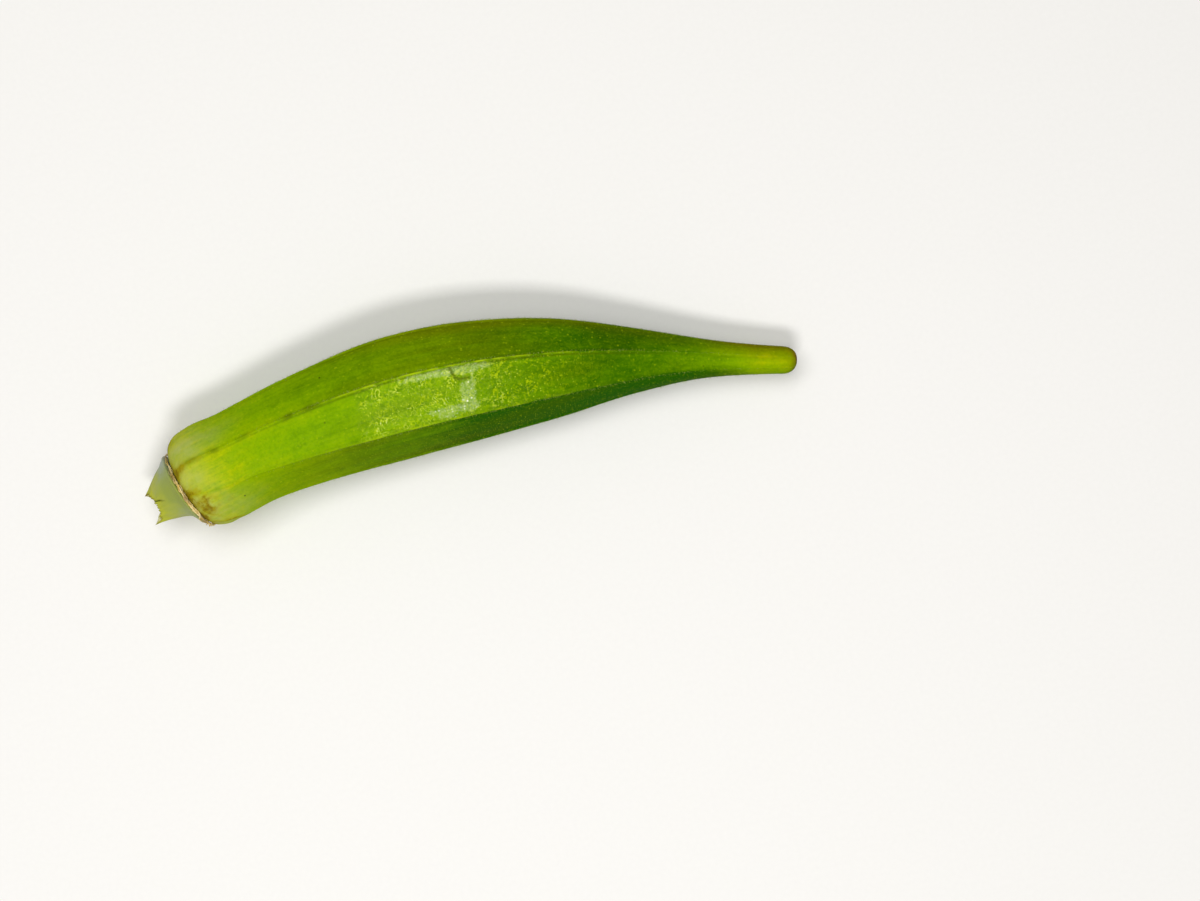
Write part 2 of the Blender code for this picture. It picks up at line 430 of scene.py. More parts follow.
# The wax that the calyx kept: pale faces round the base between brown stains where it tore at the corners.
BLOOM_LENGTH = 5.2
BLOOM_REACH = (0.0, 0.6, 0.0, 1.0, 1.0, 0.0, 0.6)  # how much further it goes, face by face
BLOOM_SHARE = (0.8, 0.75, 0.75, 0.75, 1.0, 0.8, 0.8)
middle_of_face = np.sin(np.pi * across) ** 0.6
bloom_length = BLOOM_LENGTH + 2.4 * blotch + 1.8 * by_face(BLOOM_REACH)
bloom = bell(distance, bloom_length) * np.clip(0.25 + middle_of_face, 0, 1) * by_face(BLOOM_SHARE)
STAINS = (  # place along, place round in facets, half the length, half the width, and strength
    (0.9, 2.93, 1.0, 0.8, 1.2),
    (3.0, 2.98, 2.6, 0.4, 0.7),
    (0.7, 2.08, 1.2, 1.1, 1.2),
    (2.2, 1.6, 1.3, 1.5, 1.6),
    (3.4, 1.8, 1.6, 0.6, 0.5),
    (0.7, 1.22, 0.6, 0.7, 1.7),
    (0.3, 0.75, 0.8, 1.2, 1.4),
    (3.6, 1.0, 2.2, 0.35, 0.9),
    (6.0, 1.65, 0.5, 0.3, 0.9),
    (0.9, 4.05, 1.2, 0.9, 1.0),
    (1.4, 4.9, 1.5, 1.1, 0.9),
    (0.8, 5.95, 1.0, 1.4, 1.0),
    (1.2, 0.1, 1.4, 0.9, 1.1),
    (102.7, 3.3, 0.7, 0.9, 1.3),
    (102.0, 2.5, 1.2, 2.0, 0.4),
)
face_width = 2 * round_section(distance, facet)[1] * radius
stain = 0.35 * bell(from_ridge, 1.5 + 0.3 * distance) * bell(distance, 3.4)
stain += 0.8 * bell(distance - 0.3, 0.4 + 0.3 * ragged)
half_round = len(RIDGES) / 2
for along, around, half_length, half_width, strength in STAINS:
    off = ((facet - around + half_round) % len(RIDGES) - half_round) * face_width
    spread = ((distance - along) / half_length) ** 2 + (off / half_width) ** 2
    stain += strength * np.exp(-spread * (1 + 0.9 * ragged))

# A pale thread runs along the two upper ribs where they stand out most, broken here and there. Beside
# each rib its furrow is painted dark as shade, on the face before it or, where FURROW_DEPTH is below zero,
# on the face after it.
# Towards the ring each rib is only a brownish vein, and the one on top is scorched in a few places.
RIB_PALENESS = (0.1, 0.15, 0.6, 1.0, 0.2, 0.1, 0.1)
FURROW_DEPTH = (1.0, 1.0, -0.35, 1.0, 1.0, 1.0, 1.0)
PALE_STRETCH = (
    (0.0, 0.0),
    (20.0, 0.1),
    (32.0, 0.9),
    (56.0, 0.95),
    (66.0, 0.4),
    (76.0, 0.12),
    (86.0, 0.02),
    (103.0, 0.0),
)
THREAD_WIDTH = 0.15
FURROW_OFF = 0.36
FURROW_WIDTH = 0.15
VEIN_WIDTH = 0.3
VEIN_DEPTH = (0.8, 0.5, 0.2, 1.0, 0.8, 0.8, 0.8)
SCORCHED_RIB = 3
SCORCH_MARKS = (  # place along the rib, half the length, and strength
    (4.0, 1.5, 0.5),
    (7.9, 0.8, 0.8),
    (12.8, 1.2, 0.5),
    (20.4, 1.1, 0.95),
    (24.0, 1.7, 0.9),
)
nearest = np.round(facet).astype(int) % len(RIDGES)
broken = sine_sum(grown[..., 2], nearest * 3.0, nearest * 5.0, (11, 6, 4, 2.7, 1.9, 1.3), 41)
broken = np.clip(0.55 + 1.8 * broken, 0, 1)
furrow = np.array(FURROW_DEPTH)[nearest]
furrow = np.abs(furrow) * ((facet < np.round(facet)) == (furrow > 0))
thread = bell(from_ridge, THREAD_WIDTH) * smooth(PALE_STRETCH, distance) * broken
thread *= np.array(RIB_PALENESS)[nearest]
# Painted shade in the furrow beside each rib, and with it the brownish veins towards the ring.
groove = bell(from_ridge - FURROW_OFF, FURROW_WIDTH) * smooth(RIB_STRENGTH, distance) * furrow
vein = bell(from_ridge, VEIN_WIDTH) * bell(distance - 5, 9) * (1.1 - broken)
groove += 0.4 * vein * np.array(VEIN_DEPTH)[nearest]
scorch = sum(strength * bell(distance - at, half) for at, half, strength in SCORCH_MARKS)
scorch *= bell(from_ridge, 0.42 + 0.35 * ragged) * (nearest == SCORCHED_RIB)

# On the face that lies uppermost the wax is rubbed to satin, and over it is painted the highlight of the key
# light, broken up, and brightest as milky glare in three patches. Something has nicked the skin beside the
# rib.
SATIN_FACE = 2
SATIN_START = (30.5, 32.0)
SATIN_END = (72.0, 58.0)
CURLS_END = (60.0, 48.0)
# The three patches where the painted highlight turns to milky glare; how beaded says how thick its painted
# glints lie.
GLARE_PATCHES = (  # place along and across, half the length and half the width, and how beaded it is
    (46.0, 0.91, 8.4, 0.085, 0.25),
    (48.9, 0.5, 1.5, 0.26, 1.0),
    (46.2, 0.16, 5.0, 0.15, 1.0),
)
NICK = ((46.6, 0.2), (47.2, 2.1), (48.0, 2.4), (49.2, 2.3))  # along the pod, and in from the rib
NICK_WIDTH = 0.24
on_face = (face == SATIN_FACE) * np.clip(np.minimum(across, 1 - across) * 40, 0, 1)
# The satin stretch of the uppermost face, which has the stronger gloss and the painted highlight.
satin = rise(distance + 1.5 * ragged, *SATIN_START) * rise(distance, *SATIN_END) * on_face
glare_film, glint_beading = 0, 0
for along, middle, half, width, beaded_glints in GLARE_PATCHES:
    patch = np.exp(-(((distance - along) / half) ** 4) - ((across - middle) / width) ** 2) * on_face
    glare_film, glint_beading = glare_film + patch, glint_beading + patch * beaded_glints
nick = np.zeros(distance.shape)
for (x, y), (end_x, end_y) in zip(NICK, NICK[1:]):
    gone = np.hypot(end_x - x, end_y - y)
    share = np.clip(((distance - x) * (end_x - x) + (from_ridge - y) * (end_y - y)) / gone**2, 0, 1)
    gap = np.hypot(distance - x - share * (end_x - x), from_ridge - y - share * (end_y - y))
    nick = np.maximum(nick, 1.3 * bell(gap, NICK_WIDTH))
nick *= on_face * (across > 0.5)
marks = {
    "ripeness": ripeness,
    "olive": np.clip(olive, 0, 1),
    "bloom": bloom,
    "stain": stain,
    "thread": thread,
    "groove": np.clip(groove, 0, 1),
    "scorch": np.clip(scorch + nick, 0, 1),
    "satin": satin,
    "curled_highlight": satin * rise(distance, *CURLS_END),
    "glare_film": glare_film,
    "glint_beading": glint_beading,
    "along": distance / POD_LENGTH,
}
paint(pod_mesh, "grown", (grown * 0.001).reshape(-1, 3))
for name, values in marks.items():
    paint(pod_mesh, name, values.ravel())

# Fresh okra skin: a thin waxy cuticle over green tissue, satin and finely wrinkled along the pod, in greens
# that run from yellow to deep, streaked with olive and grained lighter and darker. Real wrinkles are 0.2 mm
# apart, too fine to show, so these are 0.8 mm apart.
okra_skin = bpy.data.materials.new("Fresh okra skin, satin cuticle")
okra_skin.use_nodes = True
place = add(okra_skin, "Attribute", output="Vector", attribute_name="grown")
mark = {name: add(okra_skin, "Attribute", output="Fac", attribute_name=name) for name in marks}
lengthwise = add(okra_skin, "Mapping", {"Vector": place}, Scale=(1, 1, 0.05))
fibres = add(okra_skin, "TexNoise", {"Vector": lengthwise}, Scale=every(0.77), Detail=3, Roughness=0.6)
mottle = add(okra_skin, "TexNoise", {"Vector": place}, Scale=every(2.4), Detail=5, Roughness=0.7)
turned = add(okra_skin, "Math", {0: fibres, 1: 0.45, 2: mark["ripeness"]}, operation="MULTIPLY_ADD")
turned = add(okra_skin, "Math", {0: mottle, 1: 0.5, 2: turned}, operation="MULTIPLY_ADD")
turned = add(okra_skin, "Math", {0: turned, 1: 0.475}, operation="SUBTRACT", use_clamp=True)
greens = add(okra_skin, "ValToRGB", {"Fac": turned})
stops = greens.node.color_ramp.elements
stops[0].color = linear("#b4bc00")
stops[1].color = linear("#1f5700")
for position, code in ((0.2, "#8dab00"), (0.42, "#79a200"), (0.62, "#5d8800"), (0.8, "#457100")):
    stops.new(position).color = linear(code)
streaks = add(okra_skin, "TexNoise", {"Vector": lengthwise}, Scale=every(2.4), Detail=5, Roughness=0.65)
streaks = add(okra_skin, "Math", {0: streaks, 1: 1.6, 2: 0.2}, operation="MULTIPLY_ADD")
grain = add(okra_skin, "TexNoise", {"Vector": place}, Scale=every(0.42), Detail=3, Roughness=0.55)
light = add(okra_skin, "MapRange", {"Value": grain}, From_Min=0.5, From_Max=0.68, To_Max=0.14)
dark = add(okra_skin, "MapRange", {"Value": grain}, From_Min=0.5, From_Max=0.34, To_Max=0.18)
colour = coated(
    okra_skin,
    greens,
    (
        ("#6f6a00", mark["olive"], streaks),
        ("#9db600", light),
        ("#3d6200", dark),
    ),
)

# The satin face carries a painted highlight, the key light's reflection broken up in the wax: a net of
# yellower cells about 0.6 mm across over deeper green, drifting in and out, crossed by bright curls fine as
# thread which run together in clusters, and glints here and there. Over it go the pale threads of the ribs
# and the painted shade of the furrows.
clots = add(okra_skin, "TexNoise", {"Vector": place}, Scale=every(2.6), Detail=3, Roughness=0.6)
net = add(
    okra_skin, "TexNoise", {"Vector": place}, Scale=every(0.63), Detail=4, Roughness=0.7, Distortion=0.8
)
gaps = add(okra_skin, "MapRange", {"Value": net}, From_Min=0.47, From_Max=0.38, To_Max=0.6)
net = add(okra_skin, "MapRange", {"Value": net}, From_Min=0.51, From_Max=0.6, To_Max=0.7)
drift = add(okra_skin, "MapRange", {"Value": mottle}, From_Min=0.42, From_Max=0.6, To_Min=0.15)
# Painted highlight: bright curls where the key light catches the wax.
highlight_curl = add(
    okra_skin, "TexNoise", {"Vector": place}, Scale=every(1.3), Detail=1, Roughness=0.4, Distortion=1.4
)
highlight_curl = add(okra_skin, "Math", {0: highlight_curl, 1: 0.5}, operation="SUBTRACT")
highlight_curl = add(okra_skin, "Math", {0: highlight_curl}, operation="ABSOLUTE")
highlight_curl = add(okra_skin, "MapRange", {"Value": highlight_curl}, From_Min=0.05, From_Max=0.015)
clustered = add(okra_skin, "MapRange", {"Value": clots}, From_Min=0.44, From_Max=0.58, To_Min=0.25)
for share in (mark["curled_highlight"], drift, clustered):
    highlight_curl = add(okra_skin, "Math", {0: highlight_curl, 1: share}, operation="MULTIPLY")
glints = scattered(okra_skin, place, 0.42, core=0.12, reach=0.35, lots=(0.6, 0.9), channel=2)
colour = coated(
    okra_skin,
    colour,
    (
        ("#587c00", gaps, mark["satin"]),
        ("#b4c804", net, mark["satin"], drift),
        ("#cadb44", highlight_curl, 0.9),
        ("#c3d532", glints, mark["satin"], 0.8),
        ("#aec80f", mark["thread"], 0.85),
        ("#4a5c00", mark["groove"], 0.6),
    ),
)

# Hair roots about a millimetre apart show as pale dots, and there is a dark speck every centimetre or two.
roots = scattered(okra_skin, place, 0.8, core=0.08, reach=0.24, lots=(0.0, 1.0), channel=0)
specks = scattered(okra_skin, place, 3.2, core=0.04, reach=0.07, lots=(0.7, 0.8), channel=1)
colour = coated(okra_skin, colour, (("#a9bd14", roots, 0.6), ("#3c4a08", specks)))

# In its three patches the painted highlight is milky glare on the wax, strongest where the wax is thick,
# curdled and ragged at its edges, with white painted glints in it and a few on the curls. The bloom round the
# base is a thin haze of the same wax, streaked along the pod and patchy.
curdled = add(okra_skin, "TexNoise", {"Vector": place}, Scale=every(0.67), Detail=6, Roughness=0.8)
thick = add(okra_skin, "Math", {0: curdled, 1: 1.6, 2: mark["glare_film"]}, operation="MULTIPLY_ADD")
thick = add(okra_skin, "Math", {0: clots, 1: 1.6, 2: thick}, operation="MULTIPLY_ADD")
thick = add(okra_skin, "MapRange", {"Value": thick}, From_Min=2.12, From_Max=2.4)
thick = add(okra_skin, "Math", {0: thick, 1: mark["satin"]}, operation="MULTIPLY")
crumb = add(okra_skin, "TexNoise", {"Vector": place}, Scale=every(0.31), Detail=3, Roughness=0.6)
crumb = add(okra_skin, "MapRange", {"Value": crumb}, From_Min=0.44, From_Max=0.58, To_Min=0.18, To_Max=0.5)
beaded_glints = add(okra_skin, "Math", {0: thick, 1: mark["glint_beading"]}, operation="MULTIPLY")
beaded_glints = add(okra_skin, "Math", {0: highlight_curl, 1: 0.3, 2: beaded_glints}, operation="MULTIPLY_ADD", use_clamp=True)
# Painted glints: white points of the key light's reflection.
bead_glints = scattered(okra_skin, place, 0.52, core=0.15, reach=0.42, lots=(0.3, 0.8), channel=0)
haze = add(okra_skin, "TexNoise", {"Vector": lengthwise}, Scale=every(1.7), Detail=4)
haze = add(okra_skin, "Math", {0: haze, 1: 0.4}, operation="ADD")
patchy = add(okra_skin, "MapRange", {"Value": clots}, From_Min=0.36, From_Max=0.64, To_Min=0.45, To_Max=1.3)
colour = coated(
    okra_skin,
    colour,
    (
        ("#b4c67c", thick, crumb),
        ("#f2f7dc", bead_glints, beaded_glints),
        ("#b3b966", haze, patchy, mark["bloom"]),
    ),
)

# Rust-brown stains show where the calyx tore, burnt darker in their midst, with scorched green on the rib
# above them, and the very tip has browned.
rust = add(okra_skin, "TexNoise", {"Vector": place}, Scale=every(2.1), Detail=5, Roughness=0.7)
rust = add(okra_skin, "MapRange", {"Value": rust}, From_Min=0.32, From_Max=0.66)
stained = add(okra_skin, "Math", {0: rust, 1: 1.5}, operation="MULTIPLY")
stained = add(okra_skin, "Math", {0: stained, 1: mark["stain"]}, operation="MULTIPLY", use_clamp=True)
burnt = add(okra_skin, "TexNoise", {"Vector": place}, Scale=every(0.77), Detail=5, Roughness=0.8)
burnt = add(okra_skin, "Math", {0: mark["stain"], 1: 0.16, 2: burnt}, operation="MULTIPLY_ADD")
burnt = add(okra_skin, "MapRange", {"Value": burnt}, From_Min=0.66, From_Max=0.8)
tip_end = add(okra_skin, "MapRange", {"Value": mark["along"]}, From_Min=0.988, From_Max=0.9995)
colour = coated(
    okra_skin,
    colour,
    (
        ("#4f6004", mark["scorch"], 0.8),
        ("#948600", stained, 0.85),
        ("#6a5008", burnt, stained, 0.65),
        ("#5c4510", tip_end, rust),
    ),
)

# The wrinkles and the grain stand up a little in the tissue, and more in the wax over it. The wax gives a
# broad soft gloss, a little stronger where it is rubbed to satin.
wrinkle = add(okra_skin, "Bump", {"Height": fibres}, Strength=0.5, Distance=0.0001)
pimple = add(okra_skin, "Bump", {"Height": grain, "Normal": wrinkle}, Strength=0.4, Distance=0.00006)
waxy = add(okra_skin, "Bump", {"Height": grain, "Normal": wrinkle}, Strength=0.8, Distance=0.0001)
gloss = add(okra_skin, "MapRange", {"Value": mark["satin"]}, To_Min=0.008, To_Max=0.024)
cover(
    pod_mesh,
    okra_skin,
    {"Base Color": colour, "Normal": pimple, "Coat Normal": waxy, "Coat Weight": gloss},
    Roughness=0.55,
    IOR=1.4,
    Specular_IOR_Level=0.005,
    Coat_Roughness=0.16,
    Coat_IOR=1.45,
)

pod = object_of("pod_skin", pod_mesh)
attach(pod, "root")
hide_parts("pod")

# ======================================================================================================
# The hairs: short stiff bristles of clear cell wall, each on a swollen foot. They are longest and thickest
# set along the ribs, and little more than pimples on the faces between. Each is a three-sided spike.
# ======================================================================================================

HAIRS_ON_FACES = 7000
HAIRS_ON_RIBS = 5200
FACE_HAIR = (0.12, 0.3)  # the shortest and the longest
RIB_HAIR = (0.22, 0.48)
HAIR_FOOT = 0.04  # half its thickness, about twice the real one, which would be too fine to show
HAIR_SHAFT = 0.4  # the shaft's thickness as a share of its foot's
FOOT_HEIGHT = 0.3  # as a share of the hair's length
FOOT_DEPTH = 0.05  # how far it is rooted in the skin
HAIR_POINTS = 7
HAIR_CLEARANCE = 0.9  # none grows lower than this over the surface that the pod lies on

# More places are drawn along the pod than there are hairs, and the thicker the pod, the more are kept.
draw = np.random.default_rng(7)
count = HAIRS_ON_FACES + HAIRS_ON_RIBS
widest = max(value for _, value in RIDGE_RADIUS)
tried = draw.uniform(4.0, POD_LENGTH - 1.0, count * 3)
tried = tried[draw.uniform(0, widest, count * 3) < smooth(RIDGE_RADIUS, tried) + 1.0][:count]
at_facet = draw.uniform(0, len(RIDGES), len(tried))
on_rib = np.arange(len(tried)) >= HAIRS_ON_FACES
at_facet = np.where(on_rib, np.round(at_facet) + draw.normal(0, 0.02, len(tried)), at_facet) % len(RIDGES)


def unit(vectors):
    """Each vector at a length of one."""
    return vectors / np.linalg.norm(vectors, axis=-1, keepdims=True)


def hair_roots(distance, facet):
    """Each root, its outward direction and the direction along the pod. Outwards is the cross product of the
    skin's slopes along and around."""
    root = pod_point(distance, facet)
    around = pod_point(distance, facet + 0.01) - root
    along = pod_point(distance + 0.05, facet) - root
    return root + shift, unit(np.cross(along, around)), unit(along)


def spikes(root, out, along, length, thickness, draw):
    """Seven points a spike, and the faces on them: three round the root, three round the top of its foot, and
    the tip. The foot leans at random from straight out, and the shaft droops a little further."""
    lean = unit(out + 0.06 * along + draw.normal(0, 0.12, root.shape))
    droop = unit(lean + 0.12 * along + draw.normal(0, 0.1, root.shape))
    first = unit(np.cross(lean, along))
    second = np.cross(lean, first)
    turn = np.radians([0, 120, 240])
    spread = np.cos(turn)[None, :, None] * first[:, None] + np.sin(turn)[None, :, None] * second[:, None]
    bend = root + lean * length[:, None] * FOOT_HEIGHT
    tip = bend + droop * length[:, None] * (1 - FOOT_HEIGHT)
    sunk = root - out * FOOT_DEPTH
    thick = thickness[:, None, None]
    points = [sunk[:, None] + spread * thick, bend[:, None] + spread * thick * HAIR_SHAFT, tip[:, None]]
    start = np.arange(len(root))[:, None, None] * HAIR_POINTS
    quads = start + np.array([[0, 1, 4, 3], [1, 2, 5, 4], [2, 0, 3, 5]])
    ends = start + np.array([[3, 4, 6], [4, 5, 6], [5, 3, 6], [0, 2, 1]])
    faces = quads.reshape(-1, 4).tolist() + ends.reshape(-1, 3).tolist()
    return np.concatenate(points, axis=1).reshape(-1, 3), faces


root, out, along = hair_roots(tried, at_facet)
kept = draw.uniform(0, 1, len(root)) < np.clip((tried - 6) / 24, 0.08, 1)  # few grow near the ring
kept &= root[:, 2] > HAIR_CLEARANCE
root, out, along, on_rib = root[kept], out[kept], along[kept], on_rib[kept]
shortest, longest = np.where(on_rib[None], np.array(RIB_HAIR)[:, None], np.array(FACE_HAIR)[:, None])
length = draw.uniform(shortest, longest) * np.clip((POD_LENGTH - tried[kept]) / 14, 0.45, 1)
thickness = HAIR_FOOT * draw.uniform(0.7, 1.2, len(root))
hair_mesh = mesh_of("hairs", *spikes(root, out, along, length, thickness, draw))
paint(hair_mesh, "on_rib", np.repeat(on_rib.astype(float), HAIR_POINTS))

# Clear dry cell wall: it scatters light like frosted glass, so the bristles show pale against the green.
bristle = bpy.data.materials.new("Stiff plant hair, pale cell wall")
bristle.use_nodes = True
spot = add(bristle, "TexCoord", output="Object")
tint = add(bristle, "TexNoise", {"Vector": spot}, Scale=every(3.8), Detail=2)
fringe = add(bristle, "Attribute", output="Fac", attribute_name="on_rib")
short_hair = coated(bristle, "#7f9c00", (("#a2b41e", tint),))
long_hair = coated(bristle, "#92a82c", (("#bccb66", tint),))
colour = coated(bristle, short_hair, ((long_hair, fringe),))
cover(hair_mesh, bristle, {"Base Color": colour}, Roughness=0.5, IOR=1.45, Specular_IOR_Level=0.1)

hairs = object_of("pod_hairs", hair_mesh)
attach(hairs, "root")

# ======================================================================================================
# The calyx ring: the corky scar where the calyx dropped off. One knobbly cord runs round the base, thinnest
# on its +Y side, with thinner dry fibres wound about it and frayed ends standing off at the corners.
# ======================================================================================================

RING_RADIUS = 6.95
RING_SETBACK = 0.1  # how far behind the pod's own end it runs
STRAND_RADIUS = (0.25, 0.14, 0.08, 0.07, 0.055)
STRAND_FLATNESS = (0.42, 1.0, 1.0, 1.0, 1.0)  # the first is the bed that the others lie on
STRAND_SPREAD = (0.02, 0.08, 0.16, 0.18, 0.2)  # how far each winds from the ring's middle
STRAND_TURNS = (2, 3, 11, -8, 17)
# The first strand, the bed beneath the others, is browner partly as painted shade under the fibres.
STRAND_SHADE = (0.75, 0.0, 0.05, 0.1, 0.3)  # how much browner each is
BED_DEPTH = 0.16  # how far below the fibres the bed lies
FORWARD_SPREAD = 1.6  # how much further they wind along the pod than outwards
THINNEST_AT = math.radians(72)  # from straight up
THIN_STRETCH = 58  # degrees to each side
THINNED_BY = 0.78
CORNER_WIDTH = 0.16  # in facets
RING_STEPS = 420
STRAND_SIDES = 8
FRAYED_ENDS = 90
FRAYED_LENGTH = (0.25, 0.6)
FRAYED_FOOT = 0.07


def ring_line(facet):
    """The middle of the ring round the base, with its outward and forward directions."""
    distance = np.full(facet.shape, -RING_SETBACK)
    middle, forward, side, up = axis_frame(distance)
    angle, half, across = round_section(distance, facet)
    radius = RING_RADIUS * chord(half, across, FACETING[0][1])
    outward = outwards(angle, side, up)
    return middle + radius[..., None] * outward + shift, outward, forward


def strands(facet, draw):
    """Tubes that wind round the ring's middle line, one for each strand. Sums of sines make their thickness
    and their reach uneven, and a bell curve of the angle makes them thin on one side."""
    middle, outward, forward = ring_line(facet)
    radius, spread, turns, flatness = (
        np.array(values)[:, None] for values in (STRAND_RADIUS, STRAND_SPREAD, STRAND_TURNS, STRAND_FLATNESS)
    )
    around = facet[None] / len(RIDGES) * 2 * np.pi
    n = np.array([5, 9, 14, 23, 37, 61])
    waves = np.sin(around[..., None] * n + draw.uniform(0, 7, (2, len(radius), 1, len(n)))) / n**0.4
    reach, swelling = waves.sum(axis=-1) / 1.6
    turn = around * turns + 0.6 * reach
    off = spread * (1 + 0.5 * reach)
    middle = middle + (off * np.cos(turn) - BED_DEPTH * (flatness < 1))[..., None] * outward
    middle = middle + (off * np.sin(turn) * FORWARD_SPREAD)[..., None] * forward
    angle = round_section(-RING_SETBACK * np.ones(facet.shape), facet)[0]
    slim = 1 - THINNED_BY * bell(np.degrees(angle - THINNEST_AT), THIN_STRETCH)
    thick = (radius * slim * np.clip(1 + 0.45 * swelling * flatness, 0.3, 1.6))[..., None, None]
    circle = np.linspace(0, 2 * np.pi, STRAND_SIDES, endpoint=False)[:, None]
    outward, forward = outward[:, None], forward[:, None]
    round_it = np.cos(circle) * outward * flatness[..., None, None] - np.sin(circle) * forward
    return middle[..., None, :] + thick * round_it


draw = np.random.default_rng(30)
ring_facets = np.linspace(0, len(RIDGES), RING_STEPS, endpoint=False)
cords = strands(ring_facets, draw)
corner = bell(ring_facets - np.round(ring_facets), CORNER_WIDTH)
browning_and_shade = corner[None, :, None] + np.array(STRAND_SHADE)[:, None, None]
browning_and_shade = np.broadcast_to(np.clip(browning_and_shade, 0, 1), cords.shape[:3])
at_corner = np.round(draw.uniform(0, len(RIDGES), FRAYED_ENDS)) + draw.normal(0, 0.13, FRAYED_ENDS)
root, out, along = ring_line(at_corner % len(RIDGES))
sideways = np.cross(out, along) * draw.choice([-1, 1], FRAYED_ENDS)[:, None]
lean = unit(out * 0.5 + along * draw.normal(0.2, 0.5, FRAYED_ENDS)[:, None] + sideways)
length = draw.uniform(*FRAYED_LENGTH, FRAYED_ENDS)
frayed, frayed_faces = spikes(root, lean, out, length, np.full(FRAYED_ENDS, FRAYED_FOOT), draw)
faces = closed_faces(*cords.shape[:3], False)
faces += [[i + cords[..., 0].size for i in corners] for corners in frayed_faces]
ring_mesh = mesh_of("calyx_ring", np.concatenate([cords.reshape(-1, 3), frayed]), faces)
paint(ring_mesh, "browning_and_shade", np.concatenate([browning_and_shade.ravel(), np.ones(len(frayed))]))

# Dry corky tissue: straw and tan, matt, browned at the corners, with a fine grain that stands up. The bed
# under the fibres is brown partly as painted shade.
cork = bpy.data.materials.new("Dried calyx, corky scar")
cork.use_nodes = True
spot = add(cork, "TexCoord", output="Object")
patch = add(cork, "TexNoise", {"Vector": spot}, Scale=every(1.4), Detail=4, Roughness=0.7)
pale = add(cork, "MapRange", {"Value": patch}, From_Min=0.4, From_Max=0.62)
brown = add(cork, "Attribute", output="Fac", attribute_name="browning_and_shade")
colour = coated(cork, "#d6b65a", (("#f6eab4", pale), ("#80601e", brown, patch, 1.3)))
fleck = add(cork, "TexNoise", {"Vector": spot}, Scale=every(0.33), Detail=3)
rough = add(cork, "Bump", {"Height": fleck}, Strength=0.6, Distance=0.0001)
cover(ring_mesh, cork, {"Base Color": colour, "Normal": rough}, Roughness=0.8)

ring = object_of("corky_ring", ring_mesh)
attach(ring, "root")
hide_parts("calyx_ring")

# ======================================================================================================
# The stem cap: the pale receptacle that held the calyx, narrowing into a short stalk. It was cut with a
# blade a little askew, so the cut end is dished, with two torn corners and a short crack beside them.
# ======================================================================================================

CAP_RADIUS = (  # place behind the ring, and the radius there
    (0.3, 6.0),
    (0.7, 6.65),
    (1.1, 6.1),
    (1.8, 5.2),
    (2.9, 4.3),
    (4.5, 3.35),
    (6.0, 2.5),
    (6.8, 2.15),
)
CAP_FRONT = CAP_RADIUS[0][0]
CAP_BACK = CAP_RADIUS[-1][0]
CAP_SHIFT = ((0.3, 0.1), (1.0, 0.6), (1.8, 0.95), (3.0, 1.0), (4.6, 0.8), (6.8, 0.45))
CAP_LOBES = 0.08
CAP_SWELL = 0.35  # how much fuller the +Y side is
CAP_UNEVENNESS = 0.025
PATTERN_RADIUS = 5.0  # patterns are laid out as if the cap were this thick, so they narrow with it
CUT_SLANT = -0.3
CUT_RAGGED = 0.45
CUT_FRAY = 0.35
CUT_DISH = 1.1
PIT_DEPTH = 0.35
NOTCH_DEPTH = 0.85
NOTCH_SQUARENESS = 0.4
NOTCH_TURN = math.radians(-6)
SPURS = ((84.0, 0.3, 11.0), (-76.0, 1.3, 7.0))  # where round the rim, how long, and half the width in degrees
SPLIT_AT = 27.0  # degrees at the rim
SPLIT_LEAN = 11.5  # degrees that it turns for each millimetre inwards
SPLIT_WIDTH = 0.05  # radians
SPLIT_DEPTH = 0.14  # as a share of the radius


def split_share(behind, angle):
    """One along the crack that runs in askew from the cut, less to its sides by a bell curve, and less
    the further in, to none after 3 mm."""
    line = np.radians(SPLIT_AT + SPLIT_LEAN * (behind - CAP_BACK))
    return bell(angle - line, SPLIT_WIDTH) * rise(behind, 3.7, 5.3)


